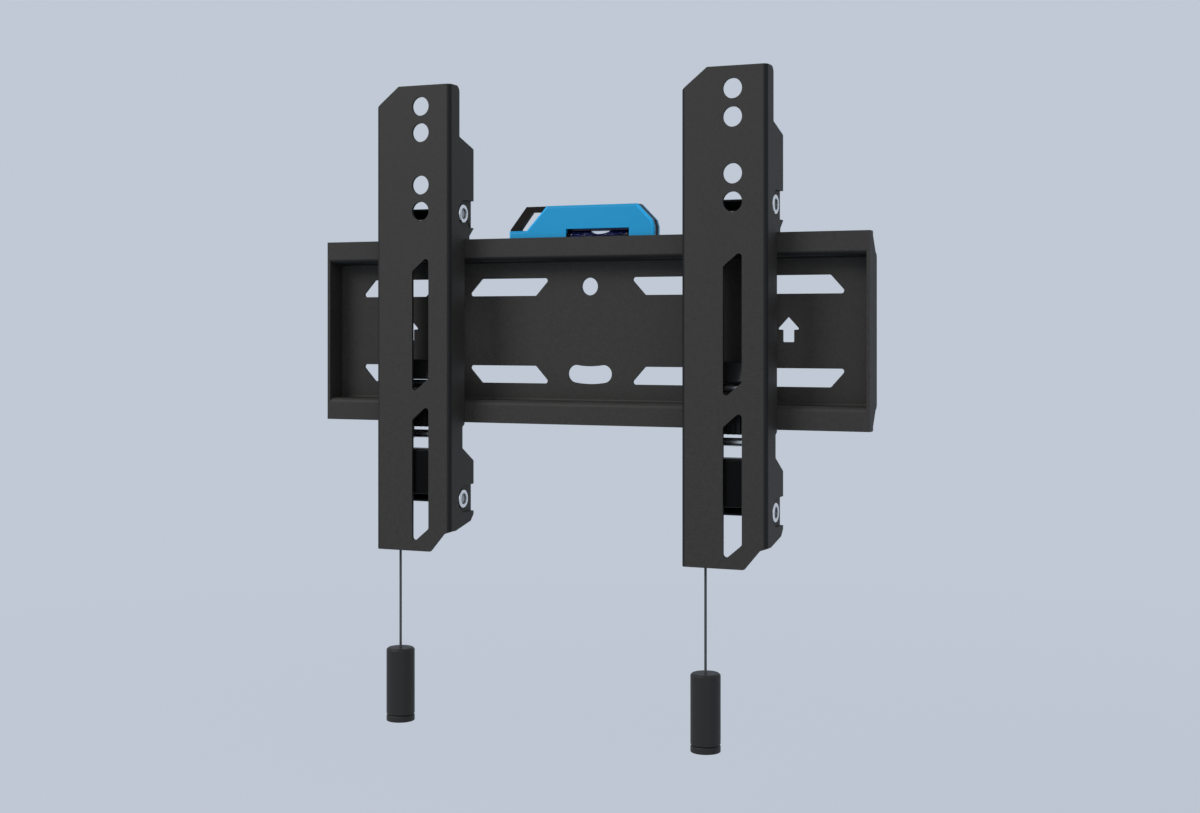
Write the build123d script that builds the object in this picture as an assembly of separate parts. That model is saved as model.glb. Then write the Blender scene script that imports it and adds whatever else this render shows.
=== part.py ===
"""Fixed wall bracket for a flat screen: a wall plate, two hook-on arms with pull-cord latches, and a level.

Millimetres, +Z up. The origin is the middle of the wall plate's back face, the wall is the plane Y = 0,
and the screen is on the -Y side.
"""

import math
import os

from build123d import *

# Wall plate
plate_width = 275.0
plate_height = 88.0
plate_depth = 12.8
plate_sheet = 1.5
recess_height = 66.6
plate_bend = 1.0
end_wall_flat = 63.0
end_wall_top_depth = 7.0
end_wall_top_fall = 2.0
wall_slot_width = 8.4
wall_slot_length = 36.8
wall_slot_lean = 7.6
wall_slot_corner = 1.2
wall_slot_row = 21.0
inner_slot_x = 42.6
outer_slot_x = 102.4
pivot_hole_diameter = 8.4
kidney_length = 22.7
arrow_x = 97.4
arrow_base_z = 0.6
arrow_head_width = 11.0
arrow_head_height = 5.9
arrow_stem_width = 5.4
arrow_stem_height = 5.6
arrow_corner = 0.5

# Arms: the X of each arm's line of screen holes, and the folded channel
left_arm_x = -76.5
right_arm_x = 79.6
arm_front = 28.0
arm_sheet = 1.5
arm_bend = 0.8
arm_left_width = 24.0
arm_right_width = 16.0
arm_top = 117.0
arm_bottom = -105.0
top_chamfer_width = 12.2
top_chamfer_height = 9.8
toe_width = 10.8
toe_step_width = 3.6
toe_step_fall = 1.2
screen_hole_diameter = 9.0
screen_hole_top = 107.0
screen_hole_pitch = 12.5
arm_slot_width = 8.8
arm_slot_lean = 7.4
arm_slot_corner = 1.5
upper_slot_top = 32.2
upper_slot_bottom = -26.4
lower_slot_top = -38.7
lower_slot_bottom = -97.9

# Side flanges of the arms: depth from the wall, and the heights where it changes
flange_wall_gap = 3.6
upper_flange_depth = 9.7
lower_flange_depth = 12.8
upper_step_high = 92.8
upper_step_low = 88.2
lower_step_high = -56.3
lower_step_low = -63.0
hook_shoulder = 49.6
hook_width = 3.0
hook_engagement = 6.0
hook_clearance = 0.3
plate_clearance = 0.3
flange_foot = -95.2
flange_foot_depth = 6.0
flange_heel = -89.0
flange_corner = 3.0
outline_radius = 0.8

# Riveted cross axles and the dishes that their heads sit in
axle_from_wall = 13.0
upper_axle_z = 56.4
lower_axle_z = -80.8
dish_radius = 6.5
dish_depth = 1.5
axle_diameter = 3.0
rivet_head_diameter = 9.0
rivet_head_height = 1.3
rivet_cup_diameter = 5.5
rivet_cup_depth = 0.6
rivet_cup_floor_diameter = 4.7
rivet_bevel = 0.7
sleeve_wall = 0.6
fixed_fit = 0.02
running_fit = 0.05

# Latch that slides in the channel
latch_travel = 4.1
latch_gap = 0.3
latch_cheek = 2.0
latch_back = 13.4
latch_top = -13.7
latch_block_height = 9.6
latch_comb_top = -36.3
latch_comb_bottom = -46.3
latch_bar_depth = 3.3
latch_rib_pitch = 2.5
latch_rib_width = 1.2
latch_rib_depth = 1.2
latch_rib_span = 14.0
latch_bottom = -52.1
catch_width = 4.0
catch_clear = 0.5
catch_gap = 0.4
catch_depth = 3.0
latch_boss_radius = 4.0
latch_pin_diameter = 3.9
latch_pin_from_wall = 16.4
upper_latch_pin_z = -25.55
lower_latch_pin_z = -49.65

# Guide block, springs and guide rod
block_top = -56.5
block_bottom = -77.9
block_side_gap = 0.3
block_back = 16.2
block_front_gap = 0.3
block_ear = 4.0
block_boss_radius = 4.0
block_corner = 1.0
block_neck = 2.0
spring_from_wall = 20.0
spring_spread = 22.4
cord_x = -15.2
spring_diameter = 5.6
spring_wire = 0.8
spring_turns = 5
spring_pocket_clearance = 0.5
spring_pocket_depth = 13.5
guide_rod_diameter = 2.4
guide_rod_seat = 4.0
guide_rod_top = -44.6

# Pull cord and its handle
cord_diameter = 1.2
cord_hole_clearance = 0.5
ferrule_diameter = 3.0
ferrule_height = 2.6
handle_top = -153.2
handle_length = 36.0
handle_diameter = 13.6
handle_cap_height = 3.9
handle_groove = 0.5
handle_edge = 0.8
handle_dome = 0.9
handle_neck = 6.0
handle_chamber_diameter = 4.4
magnet_diameter = 9.0
magnet_height = 3.0
stop_diameter = 3.4
stop_height = 3.0

# Spirit level that stands in the top lip's channel
level_left = -38.0
level_right = 36.0
level_height = 24.1
level_side_height = 13.5
level_foot_height = 12.6
level_slope_foot = -29.0
level_slope_top = -18.4
level_bevel_top = 27.6
level_bevel_side = 35.1
level_bevel_height = 16.5
level_shell = 3.0
level_core = 3.0
level_lip_gap = 0.3
level_seat_gap = 0.1
level_edge = 1.0
level_corner = 0.6
level_window_left = -8.2
level_window_right = 23.8
level_window_top_height = 13.0
loop_left = -38.4
loop_foot_height = 13.4
loop_peak = -29.9
loop_thickness = 2.7
loop_foot_width = 4.5
loop_root = 2.5
vial_diameter = 8.0
vial_wall = 0.7
vial_plug = 2.0
bubble_x = 8.0
bubble_length = 10.8
bubble_depth = 2.2
level_magnet_length = 12.0
level_magnet_height = 3.0
level_magnet_x = 25.0


def along_x(sketch, low, high):
    """Extrude a sketch drawn in the (Y, Z) plane from X = low to X = high."""
    return extrude(Plane.YZ.offset(low) * sketch, high - low)


def along_y(sketch, low, high):
    """Extrude a sketch drawn in the (X, Z) plane from Y = low to Y = high."""
    return extrude(Plane.XZ.offset(-high) * sketch, high - low)


def polygon(points, radius=0.0):
    """A closed outline through the points, with its corners rounded."""
    face = make_face(Polyline(points, close=True))
    if radius > 0:
        face = fillet(face.vertices(), radius)
    return face


def folded_section(points, sheet, bend):
    """The section of a folded sheet whose middle line runs through the points."""
    return trace(FilletPolyline(points, radius=bend + sheet / 2), line_width=sheet)


def tube(outer, inner, low, high, centre_y, centre_z):
    """A tube along X from low to high."""
    ring = Circle(outer / 2) - Circle(inner / 2)
    return along_x(Pos(centre_y, centre_z) * ring, low, high)


def leaning_slot(length, width, lean, corner):
    """A parallelogram slot lying along its first axis, its ends leaning like a slash."""
    half = length / 2
    shift = lean / 2
    rise = width / 2
    points = [(-half - shift, -rise), (half - shift, -rise), (half + shift, rise), (-half + shift, rise)]
    return polygon(points, corner)


# Values that the pieces share, how far a cutting shape runs past what it cuts, and how near is the same place
overshoot = 1.0
same_place = 0.05
half_plate = plate_width / 2
lip_front = -plate_depth
lip_back = lip_front + plate_sheet
shelf_inside = recess_height / 2
shelf_outside = shelf_inside + plate_sheet
lip_edge = plate_height / 2
flange_left = -arm_left_width
flange_right = arm_right_width
channel_left = flange_left + arm_sheet
channel_right = flange_right - arm_sheet
channel_front = -arm_front + arm_sheet
dish_floor_left = flange_left + dish_depth
dish_floor_right = flange_right - dish_depth
dish_inside_left = dish_floor_left + arm_sheet
dish_inside_right = dish_floor_right - arm_sheet
axle_y = -axle_from_wall
spring_y = -spring_from_wall
rod_x = cord_x + spring_spread
block_left = dish_inside_left + block_side_gap
block_right = dish_inside_right - block_side_gap
block_front = channel_front + block_front_gap
spring_floor = block_top - spring_pocket_depth
latch_left = channel_left + latch_gap
latch_right = channel_right - latch_gap
latch_inside_left = latch_left + latch_cheek
latch_inside_right = latch_right - latch_cheek
latch_front = channel_front + latch_gap
handle_y = spring_y
handle_bottom = handle_top - handle_length
handle_seam = handle_bottom + handle_cap_height


def wall_plate():
    """One folded sheet: a recessed panel, two shelves with lips, and an upright wall at each end."""
    lip_line = lip_front + plate_sheet / 2
    shelf_line = shelf_inside + plate_sheet / 2
    panel_line = -plate_sheet / 2
    corners = [(lip_line, lip_edge), (lip_line, shelf_line), (panel_line, shelf_line)]
    mirrored = [(y, -z) for y, z in reversed(corners)]
    body = along_x(folded_section(corners + mirrored, plate_sheet, plate_bend), -half_plate, half_plate)

    flat = end_wall_flat / 2
    top_back = -end_wall_top_depth
    low_side = [(lip_front, lip_edge), (top_back, lip_edge)]
    low_side += [(top_back, lip_edge - end_wall_top_fall), (0, flat)]
    end_outline = polygon(low_side + [(y, -z) for y, z in reversed(low_side)], outline_radius)
    for side in (-1, 1):
        inner = side * (half_plate - plate_sheet)
        outer = side * half_plate
        body += along_x(end_outline, min(inner, outer), max(inner, outer))

    cuts = Sketch()
    for side in (-1, 1):
        for level in (-1, 1):
            for centre in (inner_slot_x, outer_slot_x):
                lean = -side * level * wall_slot_lean
                slot = leaning_slot(wall_slot_length, wall_slot_width, lean, wall_slot_corner)
                cuts += Pos(side * centre, level * wall_slot_row) * slot
        cuts += Pos(side * arrow_x, arrow_base_z) * up_arrow()
    cuts += Pos(0, wall_slot_row) * Circle(pivot_hole_diameter / 2)
    swing = 2 * wall_slot_row
    sweep_angle = math.degrees((kidney_length - pivot_hole_diameter) / swing)
    kidney_line = CenterArc((0, wall_slot_row), swing, -90 - sweep_angle / 2, sweep_angle)
    cuts += SlotArc(kidney_line, pivot_hole_diameter)
    return body - along_y(cuts, -plate_sheet - overshoot, overshoot)


def up_arrow():
    """The arrow-shaped hole that shows which way up the plate goes."""
    head = arrow_head_width / 2
    stem = arrow_stem_width / 2
    points = [(-stem, -arrow_stem_height), (stem, -arrow_stem_height), (stem, 0), (head, 0)]
    points += [(0, arrow_head_height), (-head, 0), (-stem, 0)]
    return polygon(points, arrow_corner)


def flange_outline():
    """The side view of an arm: which depth the flanges reach at each height."""
    wide = -flange_wall_gap
    upper = -arm_front + upper_flange_depth
    lower = -arm_front + lower_flange_depth
    lip_side = lip_front - plate_clearance
    hook_front = lip_back + hook_clearance
    hook_back = hook_front + hook_width
    hook_top = lip_edge + hook_clearance
    hook_tip = lip_edge - hook_engagement
    beyond = -arm_front - overshoot
    toe_inside = channel_front + arm_bend
    points = [(beyond, arm_top), (upper, arm_top), (upper, upper_step_high), (wide, upper_step_low)]
    points += [(wide, hook_shoulder), (hook_back, hook_top + hook_width / 2), (hook_back, hook_tip)]
    points += [(hook_front, hook_tip), (hook_front, hook_top), (lip_side, hook_top)]
    points += [(lip_side, -lip_edge - overshoot), (lower, -lip_edge - 2 * overshoot)]
    points += [(lower, lower_step_high), (wide, lower_step_low), (wide, flange_heel)]
    points += [(wide - flange_corner, flange_heel - flange_corner)]
    points += [(-arm_front + flange_foot_depth, flange_foot)]
    points += [(toe_inside, flange_foot), (toe_inside, arm_bottom), (beyond, arm_bottom)]
    face = polygon(points)
    top_corner = face.vertices().sort_by_distance((upper, arm_top))[0]
    face = fillet(top_corner, flange_corner)
    behind_toe = toe_inside + same_place
    below_top = upper_step_high + same_place
    rest = face.vertices().filter_by(lambda v: v.X > behind_toe and v.Y < below_top)
    return fillet(rest, outline_radius)


def front_outline():
    """The front view of an arm: a long strip with a cut top corner and a cut toe."""
    points = [(flange_left, arm_bottom), (flange_right - toe_width, arm_bottom)]
    points += [(flange_right - toe_step_width, flange_foot - toe_step_fall), (flange_right, flange_foot)]
    points += [(flange_right, arm_top), (flange_left + top_chamfer_width, arm_top)]
    points += [(flange_left, arm_top - top_chamfer_height)]
    face = polygon(points)
    soft = face.vertices().filter_by(lambda v: v.X < flange_right - same_place)
    return fillet(soft, outline_radius)


def dish(centre_z, radius):
    """A round-fronted pocket outline, open towards the wall."""
    strip_length = axle_from_wall
    strip = Pos(axle_y + strip_length / 2, centre_z) * Rectangle(strip_length, 2 * radius)
    return Pos(axle_y, centre_z) * Circle(radius) + strip


def arm_channel():
    """One folded sheet: a slotted front, and two side flanges with hooks and dished rivet seats."""
    middle = arm_sheet / 2
    back = -flange_wall_gap
    left = flange_left + middle
    right = flange_right - middle
    front = -arm_front + middle
    corners = [(left, back), (left, front), (right, front), (right, back)]
    section = folded_section(corners, arm_sheet, arm_bend)
    body = extrude(Plane.XY.offset(arm_bottom) * section, arm_top - arm_bottom)
    body = body & along_x(flange_outline(), flange_left - overshoot, flange_right + overshoot)
    body = body & along_y(front_outline(), -arm_front - overshoot, 0)

    reach = Plane.XY.offset(arm_bottom) * Pos(0, (back - arm_front) / 2)
    reach = extrude(reach * Rectangle(4 * arm_left_width, arm_front - flange_wall_gap), arm_top - arm_bottom)
    for centre in (upper_axle_z, lower_axle_z):
        bulge = dish(centre, dish_radius + arm_sheet)
        hollow = dish(centre, dish_radius)
        body += along_x(bulge, dish_floor_left, dish_inside_left) & reach
        body += along_x(bulge, dish_inside_right, dish_floor_right) & reach
        body -= along_x(hollow, flange_left - overshoot, dish_floor_left)
        body -= along_x(hollow, dish_floor_right, flange_right + overshoot)
        hole = Pos(axle_y, centre) * Circle(axle_diameter / 2 + fixed_fit)
        body -= along_x(hole, flange_left - overshoot, flange_right + overshoot)

    cuts = Sketch()
    for step in (0, 1, 3, 4):
        cuts += Pos(0, screen_hole_top - step * screen_hole_pitch) * Circle(screen_hole_diameter / 2)
    for high, low in ((upper_slot_top, upper_slot_bottom), (lower_slot_top, lower_slot_bottom)):
        half = arm_slot_width / 2
        lean = arm_slot_lean / 2
        points = [(-half, low - lean), (half, low + lean), (half, high + lean), (-half, high - lean)]
        cuts += polygon(points, arm_slot_corner)
    return body - along_y(cuts, -arm_front - overshoot, channel_front + overshoot)


def cross_axle(centre_z):
    """A steel axle with a cupped rivet head on each end, seated on the dish floors."""
    shank = axle_diameter / 2
    head = rivet_head_diameter / 2
    cup = rivet_cup_diameter / 2
    cup_floor = rivet_cup_floor_diameter / 2
    left = dish_floor_left
    right = dish_floor_right
    edge = rivet_head_height - rivet_cup_depth
    profile = [(left - edge, 0), (left - edge, cup_floor), (left - rivet_head_height, cup)]
    profile += [(left - rivet_head_height, head - rivet_bevel), (left - edge, head)]
    profile += [(left, head), (left, shank)]
    middle = (left + right) / 2
    profile += [(2 * middle - x, r) for x, r in reversed(profile)]
    half = make_face(Polyline(profile, close=True))
    return Pos(0, axle_y, centre_z) * revolve(half, Axis.X)


def axle_sleeve(low, high, centre_z):
    """A black spacer tube on an axle."""
    inner = axle_diameter + 2 * fixed_fit
    return tube(inner + 2 * sleeve_wall, inner, low, high, axle_y, centre_z)


def guide_block():
    """A moulded block on the lower axle: two spring pockets, the cord's bore and the guide rod's seat."""
    side = polygon([(block_front, block_bottom), (-block_back, block_bottom), (-block_back, block_top),
                    (block_front, block_top)], block_corner)
    body = along_x(side, block_left, block_right)
    boss = Pos(axle_y, lower_axle_z) * Circle(block_boss_radius)
    neck_top = block_bottom + block_boss_radius
    neck = polygon([(block_front + block_neck, block_bottom + block_neck),
                    (axle_y, lower_axle_z - block_boss_radius), (axle_y + block_boss_radius, lower_axle_z),
                    (-block_back, neck_top + block_neck)])
    for low in (block_left, block_right - block_ear):
        body += along_x(boss + neck, low, low + block_ear)
    hole = Pos(axle_y, lower_axle_z) * Circle(axle_diameter / 2 + fixed_fit)
    body -= along_x(hole, block_left - overshoot, block_right + overshoot)
    pocket = Cylinder(spring_diameter / 2 + spring_pocket_clearance, spring_pocket_depth,
                      align=(Align.CENTER, Align.CENTER, Align.MAX))
    for x in (cord_x, rod_x):
        body -= Pos(x, spring_y, block_top) * pocket
    depth = block_top - block_bottom + 2 * block_boss_radius
    cord_bore = Cylinder(cord_diameter / 2 + cord_hole_clearance, depth,
                         align=(Align.CENTER, Align.CENTER, Align.MAX))
    body -= Pos(cord_x, spring_y, block_top) * cord_bore
    rod_seat = Cylinder(guide_rod_diameter / 2 + fixed_fit, guide_rod_seat,
                        align=(Align.CENTER, Align.CENTER, Align.MAX))
    return body - Pos(rod_x, spring_y, spring_floor) * rod_seat


def guide_rod():
    """The steel rod that stands in the guide block and that the latch slides on."""
    low = spring_floor - guide_rod_seat
    rod = Cylinder(guide_rod_diameter / 2, guide_rod_top - low, align=(Align.CENTER, Align.CENTER, Align.MIN))
    rod = chamfer(rod.edges().group_by(Axis.Z)[-1], guide_rod_diameter / 6)
    return Pos(rod_x, spring_y, low) * rod


def latch():
    """The sliding latch: two cheeks, a top block, a ribbed bar, two lugs and catches behind the lower lip."""
    back = -latch_back
    cheek = polygon([(latch_front, latch_bottom), (back, latch_bottom), (back, latch_top),
                     (latch_front, latch_top)], outline_radius)
    body = along_x(cheek, latch_left, latch_inside_left)
    body += along_x(cheek, latch_inside_right, latch_right)

    block_low = latch_top - latch_block_height
    top_block = polygon([(back - 2 * latch_bar_depth, block_low), (back, block_low), (back, latch_top),
                         (back - latch_bar_depth, latch_top)], outline_radius)
    body += along_x(top_block, latch_inside_left, latch_inside_right)
    bar_front = back - latch_bar_depth
    bar = polygon([(bar_front, latch_comb_bottom), (back, latch_comb_bottom), (back, latch_comb_top),
                   (bar_front, latch_comb_top)])
    body += along_x(bar, latch_inside_left, latch_inside_right)
    rib_front = bar_front - latch_rib_depth
    rib = polygon([(rib_front, latch_comb_bottom), (bar_front, latch_comb_bottom),
                   (bar_front, latch_comb_top), (rib_front, latch_comb_top - latch_rib_depth)])
    middle = (cord_x + rod_x) / 2
    rib_count = int(latch_rib_span / latch_rib_pitch) + 1
    for index in range(rib_count):
        centre = middle + (index - (rib_count - 1) / 2) * latch_rib_pitch
        body += along_x(rib, centre - latch_rib_width / 2, centre + latch_rib_width / 2)

    lug_top = latch_comb_bottom
    lug_height = lug_top - latch_bottom
    bottom_plane = Plane.XY.offset(latch_bottom)
    lug_depth = back - spring_y
    for x, wall in ((cord_x, latch_inside_left), (rod_x, latch_inside_right)):
        boss_side = x + math.copysign(latch_boss_radius, x - wall)
        plan = Rectangle(abs(boss_side - wall), lug_depth)
        plan = Pos((wall + boss_side) / 2, (back + spring_y) / 2) * plan
        plan += Pos((wall + x) / 2, spring_y) * Rectangle(abs(x - wall), 2 * latch_boss_radius)
        plan += Pos(x, spring_y) * Circle(latch_boss_radius)
        body += extrude(bottom_plane * plan, lug_height)

    ledge = -lip_edge - catch_gap
    tip = -lip_edge + latch_travel - catch_clear
    catch_front = lip_back + catch_gap
    catch_back = catch_front + catch_depth
    lead = catch_depth / 3
    root = back - latch_cheek
    catch = polygon([(root, latch_bottom), (root, ledge), (catch_front, ledge), (catch_front, tip - lead),
                     (catch_front + lead, tip), (catch_back, tip), (catch_back, ledge - lead),
                     (back, latch_bottom)])
    for low in (latch_inside_left, rod_x - latch_boss_radius):
        body += along_x(catch, low, low + catch_width)

    for centre in (upper_latch_pin_z, lower_latch_pin_z):
        hole = Pos(-latch_pin_from_wall, centre) * Circle(latch_pin_diameter / 2 + fixed_fit)
        body -= along_x(hole, latch_left - overshoot, latch_right + overshoot)
    cord_hole = Cylinder(cord_diameter / 2 + fixed_fit, lug_height + 2 * overshoot)
    rod_hole = Cylinder(guide_rod_diameter / 2 + running_fit, lug_height + 2 * overshoot)
    lug_middle = (lug_top + latch_bottom) / 2
    body -= Pos(cord_x, spring_y, lug_middle) * cord_hole
    return body - Pos(rod_x, spring_y, lug_middle) * rod_hole


def latch_pin(centre_z):
    """A bright steel pin across the latch's cheeks."""
    pin = Cylinder(latch_pin_diameter / 2, latch_right - latch_left, rotation=(0, 90, 0))
    pin = chamfer(pin.edges().filter_by(GeomType.CIRCLE), latch_pin_diameter / 12)
    return Pos((latch_left + latch_right) / 2, -latch_pin_from_wall, centre_z) * pin


def return_spring(x):
    """A compression spring between its pocket's floor and the latch's lug."""
    radius = (spring_diameter - spring_wire) / 2
    height = latch_bottom - spring_floor - spring_wire - 2 * fixed_fit
    coil = Helix(height / spring_turns, height, radius)
    wire = Plane(coil @ 0, z_dir=coil % 0) * Circle(spring_wire / 2)
    spring = sweep(wire, coil)
    return Pos(x, spring_y, spring_floor + fixed_fit + spring_wire / 2) * spring


def ferrule():
    """The metal ferrule that is crimped on the cord's upper end and sits on the latch's lug."""
    body = Cylinder(ferrule_diameter / 2, ferrule_height, align=(Align.CENTER, Align.CENTER, Align.MIN))
    body = chamfer(body.edges().filter_by(GeomType.CIRCLE), ferrule_diameter / 10)
    return Pos(cord_x, spring_y, latch_comb_bottom) * body


def pull_cord():
    """The straight cord between the ferrule and the stop in the handle."""
    low = handle_top - handle_neck
    high = latch_comb_bottom
    cord = Cylinder(cord_diameter / 2, high - low, align=(Align.CENTER, Align.CENTER, Align.MIN))
    return Pos(cord_x, spring_y, low) * cord


def cord_stop():
    """The crimped stop that holds the cord in the handle's chamber."""
    body = Cylinder(stop_diameter / 2, stop_height, align=(Align.CENTER, Align.CENTER, Align.MAX))
    body = chamfer(body.edges().filter_by(GeomType.CIRCLE), stop_diameter / 10)
    return Pos(cord_x, handle_y, handle_top - handle_neck) * body


def pull_handle():
    """The round pull handle, turned about Z: a bore for the cord, and a chamber for its stop."""
    radius = handle_diameter / 2
    chamber = handle_chamber_diameter / 2
    bore = cord_diameter / 2 + fixed_fit
    floor = handle_top - handle_neck
    outline = [(bore, handle_top), (radius - handle_edge, handle_top), (radius, handle_top - handle_edge)]
    outline += [(radius, handle_seam + handle_groove), (radius - handle_groove, handle_seam)]
    outline += [(chamber, handle_seam), (chamber, floor), (bore, floor)]
    return Pos(cord_x, handle_y, 0) * revolve(Plane.XZ * make_face(Polyline(outline, close=True)), Axis.Z)


def handle_cap():
    """The domed cap that closes the handle and holds its magnet."""
    radius = handle_diameter / 2
    cap = Cylinder(radius, handle_cap_height, align=(Align.CENTER, Align.CENTER, Align.MIN))
    cap = chamfer(cap.edges().group_by(Axis.Z)[-1], handle_groove)
    dome_radius = (radius**2 + handle_dome**2) / (2 * handle_dome)
    cap &= Pos(0, 0, dome_radius) * Sphere(dome_radius)
    pocket = Cylinder(magnet_diameter / 2 + fixed_fit, magnet_height + fixed_fit,
                      align=(Align.CENTER, Align.CENTER, Align.MAX))
    cap -= Pos(0, 0, handle_cap_height) * pocket
    return Pos(cord_x, handle_y, handle_bottom) * cap


def handle_magnet():
    """The disc magnet in the cap."""
    disc = Cylinder(magnet_diameter / 2, magnet_height, align=(Align.CENTER, Align.CENTER, Align.MAX))
    return Pos(cord_x, handle_y, handle_seam) * disc


# Depths of the level's layers, from the lip back towards the wall
level_front = lip_back + level_lip_gap
level_mid = level_front + level_shell
level_rear = level_mid + level_core
level_end = level_rear + level_shell
level_bottom = shelf_outside + level_seat_gap
level_top = level_bottom + level_height
level_foot_top = level_bottom + level_foot_height
level_window_top = level_bottom + level_window_top_height
level_window_bottom = level_window_top - vial_diameter - 2 * fixed_fit
vial_y = (level_front + level_end) / 2
vial_z = level_window_top - fixed_fit - vial_diameter / 2
vial_middle = (level_window_left + level_window_right) / 2
vial_low = level_window_left + fixed_fit
vial_high = level_window_right - fixed_fit


def level_outline():
    """The level's front view: a foot, a slope, a flat top and a bevelled end."""
    side_top = level_bottom + level_side_height
    points = [(level_left, level_bottom), (level_right, level_bottom), (level_right, side_top)]
    points += [(level_bevel_side, level_bottom + level_bevel_height), (level_bevel_top, level_top)]
    points += [(level_slope_top, level_top)]
    points += [(level_slope_foot, level_foot_top), (level_left, level_foot_top)]
    return polygon(points)


def level_window():
    """The opening in which the vial shows."""
    width = level_window_right - level_window_left
    height = level_window_top - level_window_bottom
    return Pos(vial_middle, level_window_bottom + height / 2) * Rectangle(width, height)


def level_shell_piece(low, high, edge_y):
    """A coloured shell of the level, with a chamfer round its outer face and the window through it."""
    body = along_y(level_outline(), low, high)
    outer = body.edges().filter_by(lambda e: abs(e.center().Y - edge_y) < same_place)
    body = chamfer(outer, level_edge)
    return body - along_y(level_window(), low - overshoot, high + overshoot)


def level_frame():
    """The black core of the level, which stands out on the left as a carrying loop."""
    root = level_foot_top - loop_thickness
    loop = polygon([(loop_left, root), (loop_left, level_bottom + loop_foot_height), (loop_peak, level_top),
                    (level_slope_top, level_top), (level_slope_foot, root)])
    sill = level_foot_top
    ceiling = level_top - loop_thickness
    hole_foot = loop_left + loop_foot_width
    hole_peak = loop_peak + loop_thickness
    hole = polygon([(hole_foot, sill), (hole_peak, ceiling), (level_slope_top - loop_root, ceiling),
                    (level_slope_foot, sill)], level_corner)
    body = along_y(level_outline() + loop - hole, level_mid, level_rear)
    body -= along_y(level_window(), level_mid - overshoot, level_rear + overshoot)
    return body - level_magnets(fixed_fit)


def level_magnets(margin=0.0):
    """Two bar magnets in the level's base, grown by a margin for their pockets."""
    depth = level_core - 2 * fixed_fit + 4 * margin
    bars = []
    for side in (-1, 1):
        bar = Box(level_magnet_length + 2 * margin, depth, level_magnet_height + margin,
                  align=(Align.CENTER, Align.CENTER, Align.MIN))
        bars.append(Pos(side * level_magnet_x, (level_mid + level_rear) / 2, level_bottom) * bar)
    return bars[0] + bars[1]


def vial_tube():
    """The clear tube of the vial, as long as the window."""
    return tube(vial_diameter, vial_diameter - 2 * vial_wall, vial_low, vial_high, vial_y, vial_z)


def vial_plugs():
    """The two plugs that close the vial's ends."""
    radius = vial_diameter / 2 - vial_wall - fixed_fit
    disc = Pos(vial_y, vial_z) * Circle(radius)
    return along_x(disc, vial_low, vial_low + vial_plug) + along_x(disc, vial_high - vial_plug, vial_high)


def vial_liquid():
    """The liquid in the vial, with the hollow of its bubble on top."""
    radius = vial_diameter / 2 - vial_wall - fixed_fit
    disc = Pos(vial_y, vial_z) * Circle(radius)
    body = along_x(disc, vial_low + vial_plug + fixed_fit, vial_high - vial_plug - fixed_fit)
    half = bubble_length / 2
    arch = ThreePointArc((-half, 0), (0, -bubble_depth), (half, 0)) + Line((half, 0), (-half, 0))
    bubble = revolve(Plane.XZ * make_face(arch), Axis.X)
    return body - Pos(bubble_x, vial_y, vial_z + radius) * bubble


def save(shape, name):
    """Write one node's STEP file."""
    export_step(shape, f"parts/{name}.step")


os.makedirs("parts", exist_ok=True)
save(wall_plate(), "wall_plate")

for side, x in (("left", left_arm_x), ("right", right_arm_x)):
    place = Pos(x, 0, 0)
    save(place * arm_channel(), f"{side}_arm_channel")
    save(place * cross_axle(upper_axle_z), f"{side}_upper_axle")
    sleeve_low = dish_inside_left + fixed_fit
    sleeve_high = dish_inside_right - fixed_fit
    save(place * axle_sleeve(sleeve_low, sleeve_high, upper_axle_z), f"{side}_upper_sleeve")
    save(place * cross_axle(lower_axle_z), f"{side}_lower_axle")
    ear_low = block_left + block_ear + fixed_fit
    ear_high = block_right - block_ear - fixed_fit
    save(place * axle_sleeve(ear_low, ear_high, lower_axle_z), f"{side}_lower_sleeve")
    save(place * guide_block(), f"{side}_guide_block")
    save(place * guide_rod(), f"{side}_guide_rod")
    save(place * latch(), f"{side}_latch")
    save(place * latch_pin(upper_latch_pin_z), f"{side}_latch_upper_pin")
    save(place * latch_pin(lower_latch_pin_z), f"{side}_latch_lower_pin")
    save(place * return_spring(cord_x), f"{side}_cord_spring")
    save(place * return_spring(rod_x), f"{side}_rod_spring")
    save(place * ferrule(), f"{side}_cord_ferrule")
    save(place * pull_cord(), f"{side}_pull_cord")
    save(place * cord_stop(), f"{side}_cord_stop")
    save(place * pull_handle(), f"{side}_pull_handle")
    save(place * handle_cap(), f"{side}_handle_cap")
    save(place * handle_magnet(), f"{side}_handle_magnet")

save(level_shell_piece(level_front, level_mid, level_front), "level_front_shell")
save(level_frame(), "level_frame")
save(level_shell_piece(level_rear, level_end, level_end), "level_back_shell")
save(level_magnets(), "level_magnets")
save(vial_tube(), "level_vial_tube")
save(vial_plugs(), "level_vial_plugs")
save(vial_liquid(), "level_vial_liquid")
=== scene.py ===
"""The looks of a fixed screen bracket: powder-coated steel, moulded latches, pull cords and a small level.

Lengths are in metres with +Z up, and bends and the camera's turn in degrees. The wall is the plane
Y = 0, and the screen's side is -Y.
"""

import math

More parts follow.
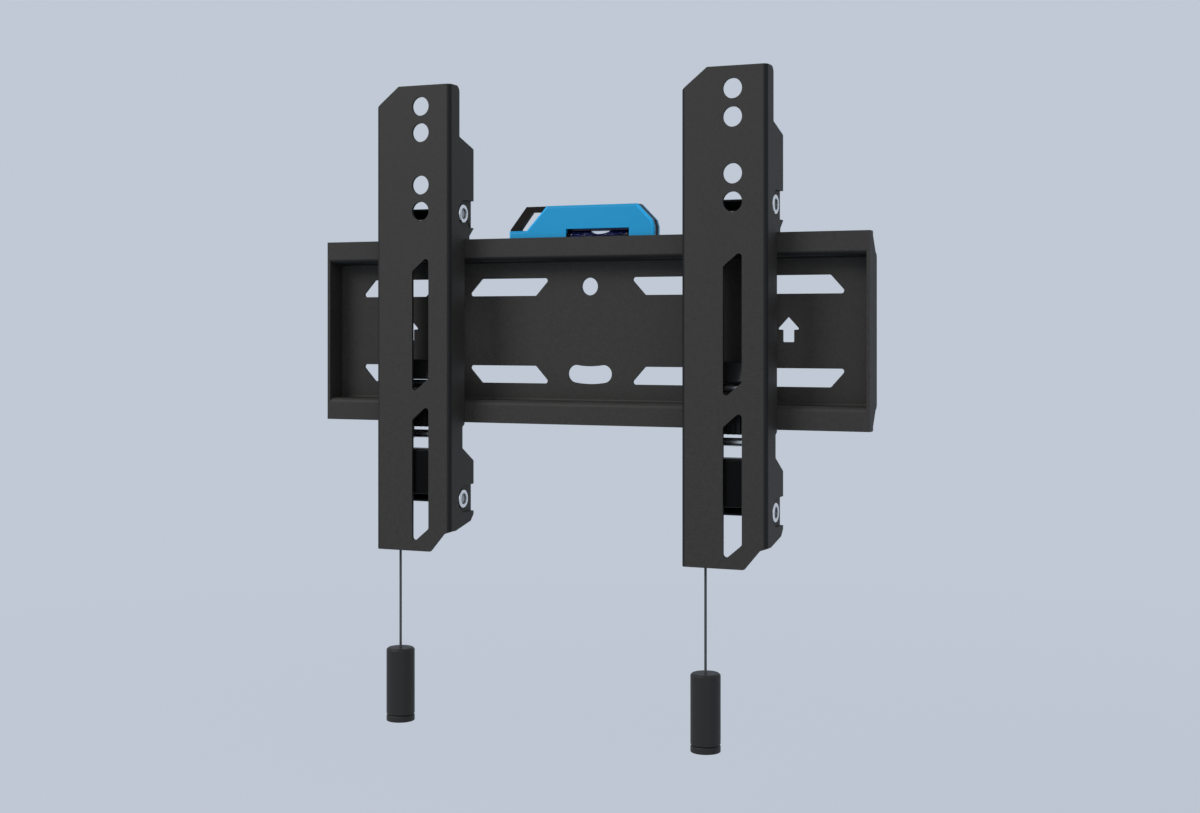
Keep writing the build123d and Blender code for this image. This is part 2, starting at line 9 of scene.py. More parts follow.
import bpy
import numpy as np
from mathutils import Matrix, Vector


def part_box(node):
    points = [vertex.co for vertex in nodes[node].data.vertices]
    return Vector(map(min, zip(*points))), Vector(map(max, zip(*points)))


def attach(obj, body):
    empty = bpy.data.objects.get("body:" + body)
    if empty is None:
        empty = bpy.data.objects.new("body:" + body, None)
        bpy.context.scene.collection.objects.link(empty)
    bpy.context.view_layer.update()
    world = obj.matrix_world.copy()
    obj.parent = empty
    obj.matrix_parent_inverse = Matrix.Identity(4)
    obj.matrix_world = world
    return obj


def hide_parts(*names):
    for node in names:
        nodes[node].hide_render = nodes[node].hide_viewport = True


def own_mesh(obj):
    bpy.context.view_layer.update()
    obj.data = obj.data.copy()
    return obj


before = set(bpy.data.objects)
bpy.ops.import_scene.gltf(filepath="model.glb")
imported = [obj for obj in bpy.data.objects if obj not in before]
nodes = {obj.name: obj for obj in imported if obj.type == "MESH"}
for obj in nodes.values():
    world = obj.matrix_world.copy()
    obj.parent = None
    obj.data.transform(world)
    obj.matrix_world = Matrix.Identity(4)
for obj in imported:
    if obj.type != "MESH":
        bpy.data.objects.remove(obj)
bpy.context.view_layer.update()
scene = bpy.context.scene
scene.view_settings.view_transform = "Standard"

# Camera
# The bracket is seen from its right, level with its middle, through a normal lens whose frame is
# slid down a little so that the handles hang inside it.
camera_place = (0.31084, -0.726529, 0.001223)
camera_turn = 22.835

lens = bpy.data.cameras.new("portrait_lens")
lens.lens = 50.0
lens.sensor_width = 36.0
lens.shift_x = -0.0004
lens.shift_y = -0.0652
lens.clip_start = 0.01
lens.clip_end = 50.0
camera = bpy.data.objects.new("portrait_camera", lens)
camera.location = camera_place
camera.rotation_euler = (math.radians(90.0), 0.0, math.radians(camera_turn))
scene.collection.objects.link(camera)
scene.camera = camera

# Pull cords
# Thin braided cords of dark synthetic yarn. Each is crimped in a ferrule that sits on its latch, and
# runs straight down, drawn taut by its handle, to a stop crimped on inside the handle.
sides = ("left", "right")
cord_across = {"left": -0.0917, "right": 0.0644}
cord_depth = -0.020
cord_top = -0.0463
cord_bottom = -0.1592
cord_heights = (cord_top, -0.060, -0.140, cord_bottom)
cord_diameter = 0.0012
cord_line_steps = 24
cord_ring_gap = 0.00022
cord_ring_points = 40
cord_yarns = 8
yarn_pitch = 0.0052
yarn_relief = 0.00009
yarn_hollow_shade_colour = (0.012, 0.013, 0.015, 1.0)
yarn_crown_lit_colour = (0.085, 0.092, 0.100, 1.0)
fibre_scale = 9000.0
fibre_height = 0.00005


def material(name):
    """A new material, with its nodes and its Principled shader."""
    made = bpy.data.materials.new(name)
    made.use_nodes = True
    return made, made.node_tree, made.node_tree.nodes["Principled BSDF"]


def feed(tree, socket, value):
    """Link another socket to this one, or set a plain value on it."""
    if isinstance(value, bpy.types.NodeSocket):
        tree.links.new(value, socket)
    else:
        socket.default_value = value


def add(tree, kind, **inputs):
    """A new node of that kind, with inputs given by name, and _ in a name for a space."""
    made = tree.nodes.new(kind)
    for name, value in inputs.items():
        feed(tree, made.inputs[name.replace("_", " ")], value)
    return made


def combine(tree, operation, first, second=0.0):
    """The result of a Math node on two numbers or sockets."""
    made = tree.nodes.new("ShaderNodeMath")
    made.operation = operation
    feed(tree, made.inputs[0], first)
    feed(tree, made.inputs[1], second)
    return made.outputs[0]


def mixed(tree, share, first, second, blend="MIX"):
    """The colour between two colours or sockets, at a share from 0 for the first to 1 for the second."""
    made = tree.nodes.new("ShaderNodeMix")
    made.data_type = "RGBA"
    made.blend_type = blend
    for name, value in (("Factor", share), ("A", first), ("B", second)):
        feed(tree, made.inputs[name], value)
    return made.outputs["Result"]


def object_place(tree):
    """The place of the shaded point in the object's own space."""
    return tree.nodes.new("ShaderNodeTexCoord").outputs["Object"]


def painted(tree, name):
    """The value of a piece's own attribute of that name at the shaded point."""
    made = tree.nodes.new("ShaderNodeAttribute")
    made.attribute_name = name
    return made.outputs["Fac"]


def paint(piece, name, values):
    """Keep one value for each of the piece's points in its own attribute of that name."""
    piece.data.attributes.new(name, "FLOAT", "POINT").data.foreach_set("value", values)


def new_piece(name, points, faces):
    """A smooth-shaded piece of those points and faces, put into the scene."""
    mesh = bpy.data.meshes.new(name)
    mesh.from_pydata(points.tolist(), [], faces)
    mesh.polygons.foreach_set("use_smooth", np.ones(len(mesh.polygons), dtype=bool))
    mesh.update()
    piece = bpy.data.objects.new(name, mesh)
    scene.collection.objects.link(piece)
    return piece


def skin(name, rings):
    """A closed skin over rings of points, an array of rows by points by xyz, with a pole at each end.

    Row i and row i + 1 are joined by quads, and the first and last rows by fans to their middles.
    """
    rows, around = rings.shape[:2]
    index = np.arange(rows * around).reshape(rows, around)
    after = np.roll(index, -1, axis=1)
    quads = np.stack([index[:-1], after[:-1], after[1:], index[1:]], axis=-1).reshape(-1, 4)
    low_pole = np.full(around, rows * around)
    high_pole = low_pole + 1
    fans = np.concatenate([
        np.stack([after[0], index[0], low_pole], axis=-1),
        np.stack([index[-1], after[-1], high_pole], axis=-1),
    ])
    points = np.concatenate([rings.reshape(-1, 3), rings[[0, -1]].mean(axis=1)])
    return new_piece(name, points, quads.tolist() + fans.tolist())


def stand_for(piece, node, look, body):
    """Dress a piece that stands for a CAD node, and give it the node's material slot and body."""
    piece.data.materials.append(look)
    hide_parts(node)
    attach(piece, body)


def spline_points(route):
    """The points of a smooth NURBS line with the route as its control points."""
    curve = bpy.data.curves.new("cord_line", "CURVE")
    curve.dimensions = "3D"
    curve.resolution_u = cord_line_steps
    spline = curve.splines.new("NURBS")
    spline.points.add(len(route) - 1)
    for point, place in zip(spline.points, route):
        point.co = (*place, 1.0)
    spline.order_u = 3
    spline.use_endpoint_u = True
    line = bpy.data.objects.new("cord_line", curve)
    scene.collection.objects.link(line)
    bpy.context.view_layer.update()
    mesh = bpy.data.meshes.new_from_object(line.evaluated_get(bpy.context.evaluated_depsgraph_get()))
    points = np.array([vertex.co for vertex in mesh.vertices])
    bpy.data.objects.remove(line)
    return points


def braided_cord(name, path):
    """A braid carried along a path that runs straight down.

    With a the angle round the cord and s the length along it, two families of yarns wind against each
    other: crest = max(cos(n a + k s), cos(n a - k s)), and the radius is r - relief (1 - crest) / 2.
    The crest, which is 1 on a yarn's crown and -1 in a hollow, is kept for the material, which paints shade
    into the hollows.
    """
    run = np.linalg.norm(np.diff(path, axis=0), axis=1)
    along = np.concatenate([[0.0], np.cumsum(run)])
    steps = np.linspace(0.0, along[-1], int(along[-1] / cord_ring_gap))
    middle = np.stack([np.interp(steps, along, path[:, axis]) for axis in range(3)], axis=-1)
    angle = np.linspace(0.0, 2 * np.pi, cord_ring_points, endpoint=False)
    lay = 2 * np.pi * cord_yarns * steps[:, None] / yarn_pitch
    crest = np.maximum(np.cos(cord_yarns * angle + lay), np.cos(cord_yarns * angle - lay))
    radius = cord_diameter / 2 - yarn_relief * (1 - crest) / 2
    offset = np.stack([radius * np.cos(angle), radius * -np.sin(angle), np.zeros_like(radius)], axis=-1)
    piece = skin(name, middle[:, None, :] + offset)
    paint(piece, "crest", np.concatenate([crest.ravel(), [1.0, 1.0]]))
    return piece


cord_yarn, tree, surface = material("cord_yarn")
crown = add(tree, "ShaderNodeMapRange", Value=painted(tree, "crest"), From_Min=-1.0, From_Max=1.0)
fibre = add(tree, "ShaderNodeTexNoise", Vector=object_place(tree), Scale=fibre_scale, Detail=2.0)
tone = combine(tree, "MULTIPLY", crown.outputs["Result"], fibre.outputs["Fac"])
# Painted shade: the yarn is darker in the hollows between the yarns and lighter on their crowns.
feed(tree, surface.inputs["Base Color"], mixed(tree, tone, yarn_hollow_shade_colour, yarn_crown_lit_colour))
fuzz = add(tree, "ShaderNodeBump", Height=fibre.outputs["Fac"], Strength=0.3, Distance=fibre_height)
feed(tree, surface.inputs["Normal"], fuzz.outputs["Normal"])
surface.inputs["Roughness"].default_value = 0.75
surface.inputs["Sheen Weight"].default_value = 0.2

for side in sides:
    route = [(cord_across[side], cord_depth, height) for height in cord_heights]
    line = spline_points(route)
    cord = braided_cord(f"{side}_braided_cord", line)
    stand_for(cord, f"{side}_pull_cord", cord_yarn, f"{side}_latch")

# Wall plate and arms
# Pressed and folded from 1.5 mm steel sheet, with every slot and hole punched before folding, and
# finished in a fine-textured matt black powder coat. The coat rounds the edges a little, and shade is
# painted into it along the folds and on the punched walls.
coat_edge = 0.00042
coat_bend = 35.0
coat_colour = (0.0290, 0.0272, 0.0250)
painted_shade_colour = (0.001, 0.001, 0.001, 1.0)
painted_shade_share = 0.8
fold_starts = 0.15
fold_is_full = 0.40
punched_tilt = 0.6
front_sheet_back = -0.0264
wall_sheet_front = -0.0016
noise_middle = 0.5
edge_steps = 2
merge_distance = 0.00001
flat_angle = 1.0


def surface_grain():
    """A node group for coated and moulded surfaces: a fine grain over slower waves, in object space.

    Out come a tone that varies round 1, a roughness that varies round the given one, and a height.
    """
    group = bpy.data.node_groups.new("surface_grain", "ShaderNodeTree")
    for name in ("Grain Size", "Wave Size", "Wave Share", "Tone Spread", "Roughness", "Roughness Spread"):
        group.interface.new_socket(name, in_out="INPUT", socket_type="NodeSocketFloat")
    for name in ("Tone", "Roughness", "Height"):
        group.interface.new_socket(name, in_out="OUTPUT", socket_type="NodeSocketFloat")
    given = group.nodes.new("NodeGroupInput").outputs
    place = object_place(group)
    grain_scale = combine(group, "DIVIDE", 1.0, given["Grain Size"])
    wave_scale = combine(group, "DIVIDE", 1.0, given["Wave Size"])
    grain = add(group, "ShaderNodeTexNoise", Vector=place, Scale=grain_scale, Detail=2.0, Roughness=0.6)
    wave = add(group, "ShaderNodeTexNoise", Vector=place, Scale=wave_scale, Detail=3.0, Roughness=0.5)
    grain = combine(group, "SUBTRACT", grain.outputs["Fac"], noise_middle)
    wave = combine(group, "SUBTRACT", wave.outputs["Fac"], noise_middle)
    both = combine(group, "ADD", grain, combine(group, "MULTIPLY", wave, given["Wave Share"]))
    tone = combine(group, "ADD", combine(group, "MULTIPLY", both, given["Tone Spread"]), 1.0)
    roughness = combine(group, "MULTIPLY", both, given["Roughness Spread"])
    roughness = combine(group, "ADD", roughness, given["Roughness"])
    out = group.nodes.new("NodeGroupOutput")
    for name, value in (("Tone", tone), ("Roughness", roughness), ("Height", both)):
        feed(group, out.inputs[name], value)
    return group


def painted_light_mask():
    """A node group of two masks that say where shade or highlight is painted: the first is 1 over folds
    and chamfers, and the second also on punched walls.

    With n the normal in object space, a fold is where max(|nx ny|, ny nz) is high, so an edge that
    faces up and out is left unpainted. A punched wall is where |ny| is low within a sheet that faces the
    screen or lies on the wall.
    """
    group = bpy.data.node_groups.new("painted_light_mask", "ShaderNodeTree")
    for name in ("Fold", "Folds And Walls"):
        group.interface.new_socket(name, in_out="OUTPUT", socket_type="NodeSocketFloat")
    place = group.nodes.new("ShaderNodeTexCoord").outputs
    normal = add(group, "ShaderNodeSeparateXYZ", Vector=place["Normal"]).outputs
    depth = add(group, "ShaderNodeSeparateXYZ", Vector=place["Object"]).outputs["Y"]
    across = combine(group, "ABSOLUTE", combine(group, "MULTIPLY", normal["X"], normal["Y"]))
    down = combine(group, "MULTIPLY", normal["Y"], normal["Z"])
    fold = add(group, "ShaderNodeMapRange", Value=combine(group, "MAXIMUM", across, down),
               From_Min=fold_starts, From_Max=fold_is_full).outputs["Result"]
    sideways = combine(group, "LESS_THAN", combine(group, "ABSOLUTE", normal["Y"]), punched_tilt)
    in_front = combine(group, "LESS_THAN", depth, front_sheet_back)
    on_wall = combine(group, "GREATER_THAN", depth, wall_sheet_front)
    punched = combine(group, "MULTIPLY", sideways, combine(group, "MAXIMUM", in_front, on_wall))
    out = group.nodes.new("NodeGroupOutput")
    feed(group, out.inputs["Fold"], fold)
    feed(group, out.inputs["Folds And Walls"], combine(group, "MAXIMUM", fold, punched))
    return group


grain_group = surface_grain()
mask_group = painted_light_mask()


def grouped(tree, group):
    """A node that holds the group."""
    made = tree.nodes.new("ShaderNodeGroup")
    made.node_tree = group
    return made


def grained(name, colour, relief, specular, **grain_values):
    """A material of one base colour whose tone, roughness and relief follow the surface grain."""
    made, tree, surface = material(name)
    grain = grouped(tree, grain_group)
    for key, value in grain_values.items():
        grain.inputs[key.replace("_", " ")].default_value = value
    toned = mixed(tree, 1.0, (*colour, 1.0), grain.outputs["Tone"], blend="MULTIPLY")
    bump = add(tree, "ShaderNodeBump", Height=grain.outputs["Height"], Strength=1.0, Distance=relief)
    feed(tree, surface.inputs["Base Color"], toned)
    feed(tree, surface.inputs["Roughness"], grain.outputs["Roughness"])
    feed(tree, surface.inputs["Normal"], bump.outputs["Normal"])
    surface.inputs["Specular IOR Level"].default_value = specular
    return made


def paint_light_into(look, mask, share, colour):
    """Paint shade or highlight into a material's own colour, by a share of one of the painted light masks.
    """
    tree = look.node_tree
    base = tree.nodes["Principled BSDF"].inputs["Base Color"]
    own_colour = base.links[0].from_socket
    amount = combine(tree, "MULTIPLY", grouped(tree, mask_group).outputs[mask], share)
    feed(tree, base, mixed(tree, amount, own_colour, colour))


def dress(name, look):
    """Give a CAD node its material."""
    mesh = nodes[name].data
    mesh.materials.clear()
    mesh.materials.append(look)


def soften(name, width, bend):
    """Round a node's edges that bend by more than that, after merging its loose triangles."""
    piece = nodes[name]
    piece.modifiers.new("joined", "WELD").merge_threshold = merge_distance
    plain = piece.modifiers.new("plain", "DECIMATE")
    plain.decimate_type = "DISSOLVE"
    plain.angle_limit = math.radians(flat_angle)
    edge = piece.modifiers.new("edges", "BEVEL")
    edge.width = width
    edge.segments = edge_steps
    edge.limit_method = "ANGLE"
    edge.angle_limit = math.radians(bend)
    piece.data.polygons.foreach_set("use_smooth", np.ones(len(piece.data.polygons), dtype=bool))
    piece.modifiers.new("even", "WEIGHTED_NORMAL").keep_sharp = True


powder_coat = grained("powder_coat", coat_colour, relief=0.00004, specular=0.25, Grain_Size=0.0009,
                      Wave_Size=0.0025, Wave_Share=0.5, Tone_Spread=0.8, Roughness=0.62,
                      Roughness_Spread=0.3)
# Painted shade: the coat is darkened along its folds and on the punched walls of its holes and slots, where
# shade falls.
paint_light_into(powder_coat, "Folds And Walls", painted_shade_share, painted_shade_colour)
for name in ("wall_plate", "left_arm_channel", "right_arm_channel"):
    dress(name, powder_coat)
    soften(name, coat_edge, coat_bend)

# Axles, pins, rods and springs
# Steel turned and drawn bright, then zinc plated. The axles' heads are formed into the dished seats
# of the arms at assembly, and the springs are coiled from hard drawn wire.
mark_stretch = 0.06
mark_height = 0.000008
cloud_scale = 350.0
cloud_darkening = 0.82
polish_range = (0.8, 1.25)
shank_radius = 0.0015
head_rise = 0.0013
head_ring_middle = 0.0034
head_ring_half = 0.00105
head_ring_starts = 1.03 * np.pi
head_ring_steps = 30
cup_rim = 0.35 * head_rise
cup_dip = 0.00025
cup_starts = 0.05
cup_steps = 8
axle_around = 64
shadow_colour = (0.03, 0.03, 0.03, 1.0)
cup_lit_share = 0.45
cup_rim_shade = 0.35
inner_wall_shade = 0.9
inner_wall_starts = 0.62 * np.pi
inner_wall_fade = 0.3 * np.pi
coil_wire_radius = 0.0004
coil_turns = 5
coil_steps = 28
coil_around = 10


def bright_metal(name, colour, roughness, mark_size):
    """Plated steel with fine drawing marks that run along the piece, in object space."""
    made, tree, surface = material(name)
    place = object_place(tree)
    stretched = add(tree, "ShaderNodeMapping", Vector=place,
                    Scale=(mark_stretch / mark_size, 1 / mark_size, 1 / mark_size))
    marks = add(tree, "ShaderNodeTexNoise", Vector=stretched.outputs["Vector"], Scale=1.0, Detail=3.0)
    cloud = add(tree, "ShaderNodeTexNoise", Vector=place, Scale=cloud_scale, Detail=2.0)
    rough = add(tree, "ShaderNodeMapRange", Value=marks.outputs["Fac"],
                To_Min=roughness * polish_range[0], To_Max=roughness * polish_range[1])
    dull = tuple(cloud_darkening * value for value in colour)
    tint = mixed(tree, cloud.outputs["Fac"], (*dull, 1.0), (*colour, 1.0))
    bump = add(tree, "ShaderNodeBump", Height=marks.outputs["Fac"], Strength=0.5, Distance=mark_height)
    feed(tree, surface.inputs["Base Color"], tint)
    feed(tree, surface.inputs["Roughness"], rough.outputs["Result"])
    feed(tree, surface.inputs["Normal"], bump.outputs["Normal"])
    surface.inputs["Metallic"].default_value = 1.0
    return made


def turned(low, high, x, radii, around):
    """Rings of a profile turned round the X line through the middle of a box: y = r cos(t), z = r sin(t)."""
    turn = np.linspace(0.0, 2 * np.pi, around, endpoint=False)
    y = (low.y + high.y) / 2 + radii[:, None] * np.cos(turn)
    z = (low.z + high.z) / 2 + radii[:, None] * np.sin(turn)
    return np.stack(np.broadcast_arrays(x[:, None], y, z), axis=-1)


def riveted_axle(name, node):
    """A shank along X with a rolled head at each end, on the middle line of its CAD node.

    Each head's profile is half an ellipse over its ring, r = middle + half cos(a) and a height of
    rise (1 + sin(a)) / 2, and inside it a cup whose floor sinks by dip (1 - (r / inner)^2). The value
    kept for the material is 1 on the head's crest, and low in the cup and on the ring's inner wall,
    where the material paints shade over the zinc.
    """
    low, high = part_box(node)
    cup = np.linspace(cup_starts, 1.0, cup_steps)
    a = np.linspace(head_ring_starts, -np.pi / 2, head_ring_steps)
    inner = head_ring_middle - head_ring_half
    radii = np.concatenate([cup * inner, head_ring_middle + head_ring_half * np.cos(a), [shank_radius]])
    rise = np.concatenate([cup_rim - cup_dip * (1 - cup**2), head_rise * (1 + np.sin(a)) / 2, [0.0]])
    x = np.concatenate([low.x + head_rise - rise, high.x - head_rise + rise[::-1]])
    piece = skin(name, turned(low, high, x, np.concatenate([radii, radii[::-1]]), axle_around))
    wall = np.clip((a - inner_wall_starts) / inner_wall_fade, 0.0, 1.0)
    unshaded = np.concatenate([cup_lit_share - cup_rim_shade * cup**3, 1.0 - inner_wall_shade * wall, [1.0]])
    unshaded = np.repeat(np.concatenate([unshaded, unshaded[::-1]]), axle_around)
    paint(piece, "unshaded", np.concatenate([unshaded, [cup_lit_share, cup_lit_share]]))
    return piece


def coil_spring(name, node):
    """A round wire carried up a helix on its CAD node's middle line.

    The helix is (R cos t, R sin t, h t), and a point of the wire is it plus w cos(a) outwards and
    w sin(a) along the binormal b = (h sin t, -h cos t, R) / sqrt(R^2 + h^2).
    """
    low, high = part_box(node)
    middle = (low + high) / 2
    radius = (high.x - low.x) / 2 - coil_wire_radius
    turn = np.linspace(0.0, 2 * np.pi * coil_turns, coil_turns * coil_steps + 1)[:, None]
    rise = (high.z - low.z - 2 * coil_wire_radius) / turn.max()
    outward = np.stack([np.cos(turn), np.sin(turn), 0 * turn], axis=-1)
    binormal = np.stack([rise * np.sin(turn), -rise * np.cos(turn), radius + 0 * turn], axis=-1)
    binormal = binormal / math.hypot(radius, rise)
    line = radius * outward + np.stack([0 * turn, 0 * turn, rise * turn], axis=-1)
    a = np.linspace(0.0, 2 * np.pi, coil_around, endpoint=False)[None, :, None]
    ring = line - coil_wire_radius * (np.cos(a) * outward - np.sin(a) * binormal)
    return skin(name, ring + np.array([middle.x, middle.y, low.z + coil_wire_radius]))


bright_zinc = bright_metal("bright_zinc", (0.68, 0.69, 0.71), roughness=0.30, mark_size=0.00025)
spring_wire = bright_metal("spring_wire", (0.52, 0.53, 0.55), roughness=0.34, mark_size=0.0002)
rolled_zinc = bright_metal("rolled_zinc", (0.90, 0.91, 0.92), roughness=0.24, mark_size=0.00025)
tree = rolled_zinc.node_tree
zinc_base = tree.nodes["Principled BSDF"].inputs["Base Color"]
zinc_colour = zinc_base.links[0].from_socket
# Painted shade: the zinc is darkened towards a shadow colour in the heads' cups and on their rings' inner
# walls, where shade falls.
feed(tree, zinc_base, mixed(tree, painted(tree, "unshaded"), shadow_colour, zinc_colour))

for side in sides:
    for name in ("latch_upper_pin", "latch_lower_pin", "guide_rod"):
        dress(f"{side}_{name}", bright_zinc)
    for name in ("cord_ferrule", "cord_stop"):
        dress(f"{side}_{name}", spring_wire)
    for level in ("upper", "lower"):
        node = f"{side}_{level}_axle"
        axle = riveted_axle(f"{side}_{level}_riveted_axle", node)
        stand_for(axle, node, rolled_zinc, f"{side}_arm")
    for held in ("cord", "rod"):
        node = f"{side}_{held}_spring"
        spring = coil_spring(f"{side}_{held}_coil", node)
        stand_for(spring, node, spring_wire, f"{side}_arm")
        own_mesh(spring)

# Latches, guide blocks and sleeves
# Injection moulded in a tough black plastic with a light spark-eroded texture. The guide block is
# trapped on the lower axle, and the latch slides on the block's steel rod behind the plate's lip.
mould_edge = 0.0003
mould_bend = 35.0
sleeve_radius = 0.00272
sleeve_bore = 0.00152
sleeve_edge = 0.00025
sleeve_edge_steps = 5
sleeve_around = 48
black_plastic = grained("black_plastic", (0.002, 0.002, 0.002), relief=0.00001, specular=0.06,
                        Grain_Size=0.0003, Wave_Size=0.006, Wave_Share=0.4, Tone_Spread=0.25,
                        Roughness=0.45, Roughness_Spread=0.2)
rib_plastic = grained("rib_plastic", (0.008, 0.008, 0.008), relief=0.00001, specular=0.35,
                      Grain_Size=0.0003, Wave_Size=0.006, Wave_Share=0.4, Tone_Spread=0.25,
                      Roughness=0.40, Roughness_Spread=0.1)


def bored_sleeve(name, node):
    """A thick tube on its CAD node's middle line: a rectangle with rounded outer corners turned round X.

    Each corner is an arc, x = end - edge (1 - sin a) and r = radius - edge (1 - cos a).
    """
    low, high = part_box(node)
    a = np.linspace(0.0, np.pi / 2, sleeve_edge_steps)
    inward = sleeve_edge * (1 - np.sin(a))
    corner = sleeve_radius - sleeve_edge * (1 - np.cos(a))
    x = np.concatenate([high.x - inward, [high.x, low.x], low.x + inward[::-1]])
    radii = np.concatenate([corner, [sleeve_bore, sleeve_bore], corner[::-1]])
    rings = turned(low, high, x, radii, sleeve_around)
    index = np.arange(rings.size // 3).reshape(rings.shape[:2])
    along, after = np.roll(index, -1, axis=0), np.roll(index, -1, axis=1)
    quads = np.stack([index, after, np.roll(along, -1, axis=1), along], axis=-1).reshape(-1, 4)
    piece = new_piece(name, rings.reshape(-1, 3), quads.tolist())
    piece.modifiers.new("even", "WEIGHTED_NORMAL")
    return piece


for side in sides:
    dress(f"{side}_lower_sleeve", black_plastic)
    dress(f"{side}_guide_block", black_plastic)
    dress(f"{side}_latch", rib_plastic)
    soften(f"{side}_guide_block", mould_edge, mould_bend)
    soften(f"{side}_latch", mould_edge, mould_bend)
    node = f"{side}_upper_sleeve"
    sleeve = bored_sleeve(f"{side}_spacer_tube", node)
    stand_for(sleeve, node, black_plastic, f"{side}_arm")

# Pull handles
# A moulded barrel with a bore for the cord, closed from below by a domed cap. The cap holds a magnet,
# which parks the handle against the steel arm, out of sight.
handle_edge = 0.0002
handle_bend = 30.0
handle_plastic = grained("handle_plastic", (0.0150, 0.0139, 0.0126), relief=0.000012, specular=0.3,
                         Grain_Size=0.0003, Wave_Size=0.005, Wave_Share=0.4, Tone_Spread=0.25,
                         Roughness=0.52, Roughness_Spread=0.2)
magnet_plate = bright_metal("magnet_plate", (0.62, 0.62, 0.64), roughness=0.25, mark_size=0.0004)
for side in sides:
    for name in ("pull_handle", "handle_cap"):
        dress(f"{side}_{name}", handle_plastic)
        soften(f"{side}_{name}", handle_edge, handle_bend)
    dress(f"{side}_handle_magnet", magnet_plate)

# Level
# Two satin blue shells clamp a black frame, which stands out at the left as a carrying loop. Bar
# magnets in the foot hold the level in the plate's steel edge.
shell_edge = 0.00018
shell_bend = 25.0
chamfer_highlight_share = 1.0
chamfer_highlight_colour = (0.02, 0.46, 0.92, 1.0)
level_blue = grained("level_blue", (0.001, 0.252, 0.500), relief=0.000008, specular=0.3,
                     Grain_Size=0.0003, Wave_Size=0.008, Wave_Share=0.5, Tone_Spread=0.06,
                     Roughness=0.42, Roughness_Spread=0.15)
# Painted highlight: the shells' chamfers are lightened to a brighter blue, where light catches their edges.
paint_light_into(level_blue, "Fold", chamfer_highlight_share, chamfer_highlight_colour)
for name in ("level_front_shell", "level_back_shell"):
    dress(name, level_blue)
    soften(name, shell_edge, shell_bend)
frame_plastic = grained("frame_plastic", (0.0105, 0.0080, 0.0065), relief=0.00001, specular=0.08,
                        Grain_Size=0.0003, Wave_Size=0.005, Wave_Share=0.4, Tone_Spread=0.25,
                        Roughness=0.5, Roughness_Spread=0.15)
dress("level_frame", frame_plastic)
dress("level_magnets", magnet_plate)

# Vial
# A clear tube between two black plugs, filled with a dark blue spirit. The bubble is a hollow in the
# spirit, seen through the tube. Shade is painted on the tube's crown, and its gloss is faint.
vial_low, vial_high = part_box("level_vial_liquid")
vial_radius = (vial_high.z - vial_low.z) / 2
vial_middle = (vial_low + vial_high) / 2
bubble_middle = 0.0080
bubble_half = 0.0054
bubble_deep = 0.0019
bubble_steps = 49
spirit_around = 64
spirit_colour = (0.006, 0.008, 0.040)
clear_colour = (0.94, 0.96, 0.98, 1.0)
crown_shade_colour = (0.01, 0.01, 0.03, 1.0)
crown_starts = 0.00315
crown_is_full = 0.00335
scuff_scale = 1200.0
tube_roughness = (0.02, 0.10)
faint_gloss_index = 1.06


def spirit_top(x):
    """The height of the spirit over the vial's middle: its roof r, less an ellipse under the bubble.

    With u = (x - middle) / half length, the height is r - depth sqrt(1 - u^2) where |u| < 1.
    """
    u = np.clip((x - bubble_middle) / bubble_half, -1.0, 1.0)
    return vial_radius - bubble_deep * np.sqrt(1 - u**2)


def spirit_fill(name):
    """The spirit: circles of radius r along X whose tops are cut level, z = min(r sin a, top(x))."""
    under_bubble = np.linspace(bubble_middle - bubble_half, bubble_middle + bubble_half, bubble_steps)
    x = np.concatenate([[vial_low.x], under_bubble, [vial_high.x]])[:, None]
    a = np.linspace(0.0, 2 * np.pi, spirit_around, endpoint=False)
    y = vial_middle.y + vial_radius * np.cos(a)
    z = vial_middle.z + np.minimum(vial_radius * np.sin(a), spirit_top(x))
    return skin(name, np.stack(np.broadcast_arrays(x, y, z), axis=-1))


vial_spirit = grained("vial_spirit", spirit_colour, relief=0.000002, specular=0.03, Grain_Size=0.001,
                      Wave_Size=0.006, Wave_Share=0.5, Tone_Spread=0.3, Roughness=0.35,
                      Roughness_Spread=0.05)
stand_for(spirit_fill("level_spirit"), "level_vial_liquid", vial_spirit, "root")
dress("level_vial_plugs", black_plastic)

vial_acrylic, tree, surface = material("vial_acrylic")
on_tube = object_place(tree)
scuffs = add(tree, "ShaderNodeTexNoise", Vector=on_tube, Scale=scuff_scale, Detail=3.0)
scuffed = add(tree, "ShaderNodeMapRange", Value=scuffs.outputs["Fac"], To_Min=tube_roughness[0],
              To_Max=tube_roughness[1])
tube_height = add(tree, "ShaderNodeSeparateXYZ", Vector=on_tube).outputs["Z"]
shaded_crown = add(tree, "ShaderNodeMapRange", Value=tube_height, From_Min=vial_middle.z + crown_starts,
                 From_Max=vial_middle.z + crown_is_full).outputs["Result"]
# Painted shade: the tube's crown is tinted near black, where the shell's window casts shade over the vial.
feed(tree, surface.inputs["Base Color"], mixed(tree, shaded_crown, clear_colour, crown_shade_colour))
feed(tree, surface.inputs["Roughness"], scuffed.outputs["Result"])
surface.inputs["Transmission Weight"].default_value = 1.0
surface.inputs["IOR"].default_value = faint_gloss_index
dress("level_vial_tube", vial_acrylic)

# Studio
# A plain pale floor and backdrop in the cool grey of the photograph, a broad soft light from the
# upper left, a weaker one from the right, and an even white surround.
backdrop_colour = (0.527, 0.584, 0.665, 1.0)
surround_colour = (0.62, 0.62, 0.63, 1.0)
floor_height = -0.30
floor_reach = 6.0
near_floor = 0.55
far_floor = 1.3
near_floor_glow = 0.85


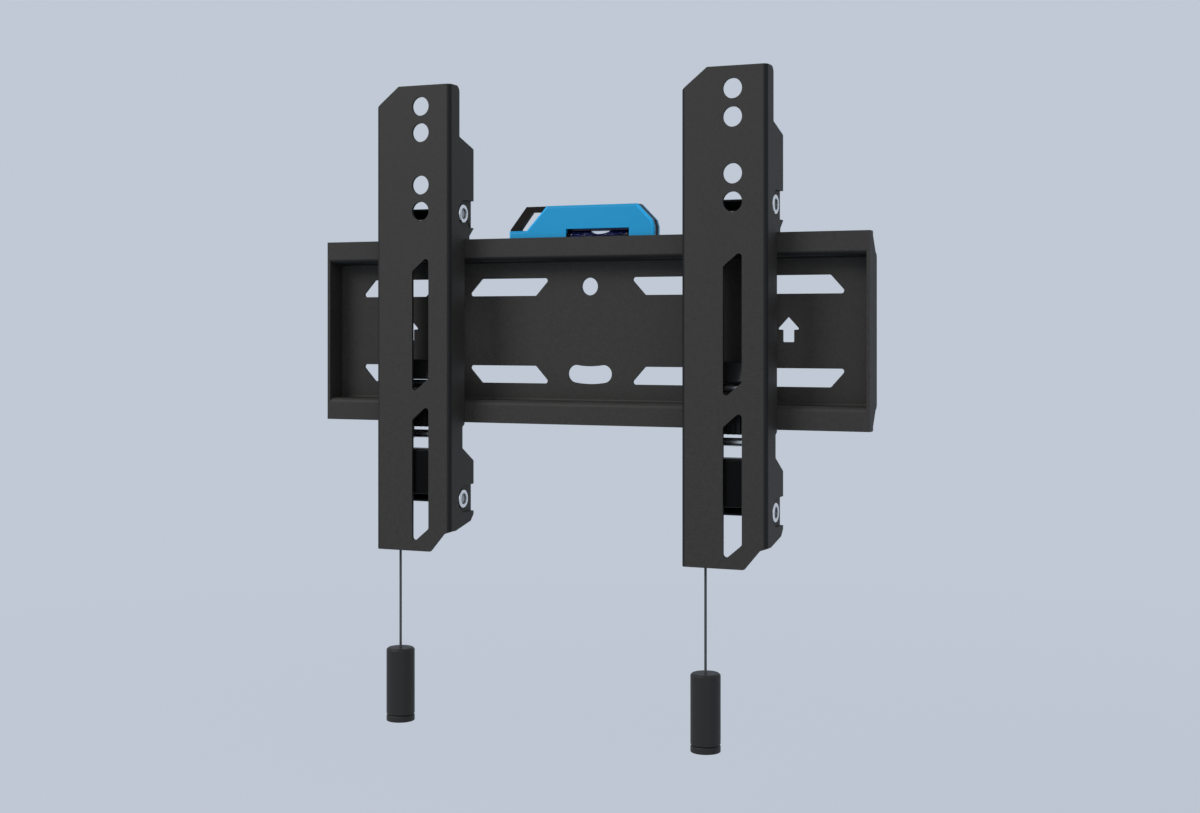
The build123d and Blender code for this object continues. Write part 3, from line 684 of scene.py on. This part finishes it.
def studio_light(name, place, size, power):
    """A square soft light at a place, aimed at the bracket's middle."""
    lamp = bpy.data.lights.new(name, "AREA")
    lamp.shape = "SQUARE"
    lamp.size = size
    lamp.energy = power
    holder = bpy.data.objects.new(name, lamp)
    flat = math.hypot(place[0], place[1])
    holder.location = place
    holder.rotation_euler = (math.atan2(flat, place[2]), 0.0, math.atan2(place[0], -place[1]))
    scene.collection.objects.link(holder)


def seen_directly(tree):
    """1 for rays from the camera, a mirror or a clear piece, and 0 for the light that falls on things."""
    rays = tree.nodes.new("ShaderNodeLightPath").outputs
    seen = combine(tree, "MAXIMUM", rays["Is Camera Ray"], rays["Is Transmission Ray"])
    return combine(tree, "MAXIMUM", seen, rays["Is Glossy Ray"])


studio_light("key_light", (-0.9, -1.2, 1.0), size=0.8, power=16.0)
studio_light("fill_light", (1.2, -1.4, 0.5), size=1.2, power=5.0)

surround = bpy.data.worlds.new("surround")
surround.use_nodes = True
tree = surround.node_tree
feed(tree, tree.nodes["Background"].inputs["Color"],
     mixed(tree, seen_directly(tree), surround_colour, backdrop_colour))
scene.world = surround

floor_corners = [(-floor_reach, -floor_reach, floor_height), (floor_reach, -floor_reach, floor_height),
                 (floor_reach, floor_reach, floor_height), (-floor_reach, floor_reach, floor_height)]
floor_mesh = bpy.data.meshes.new("studio_floor")
floor_mesh.from_pydata(floor_corners, [], [(0, 1, 2, 3)])
floor = bpy.data.objects.new("studio_floor", floor_mesh)
scene.collection.objects.link(floor)

pale_floor, tree, surface = material("studio_floor")
surface.inputs["Base Color"].default_value = backdrop_colour
surface.inputs["Roughness"].default_value = 0.9
glow = add(tree, "ShaderNodeEmission", Color=backdrop_colour, Strength=1.0)
from_middle = add(tree, "ShaderNodeVectorMath", Vector=object_place(tree))
from_middle.operation = "LENGTH"
faded = add(tree, "ShaderNodeMapRange", Value=from_middle.outputs["Value"], From_Min=near_floor,
            From_Max=far_floor, To_Min=near_floor_glow, To_Max=1.0)
blend = tree.nodes.new("ShaderNodeMixShader")
feed(tree, blend.inputs["Fac"], combine(tree, "MULTIPLY", seen_directly(tree), faded.outputs["Result"]))
feed(tree, blend.inputs[1], surface.outputs["BSDF"])
feed(tree, blend.inputs[2], glow.outputs["Emission"])
feed(tree, tree.nodes["Material Output"].inputs["Surface"], blend.outputs["Shader"])
floor.data.materials.append(pale_floor)
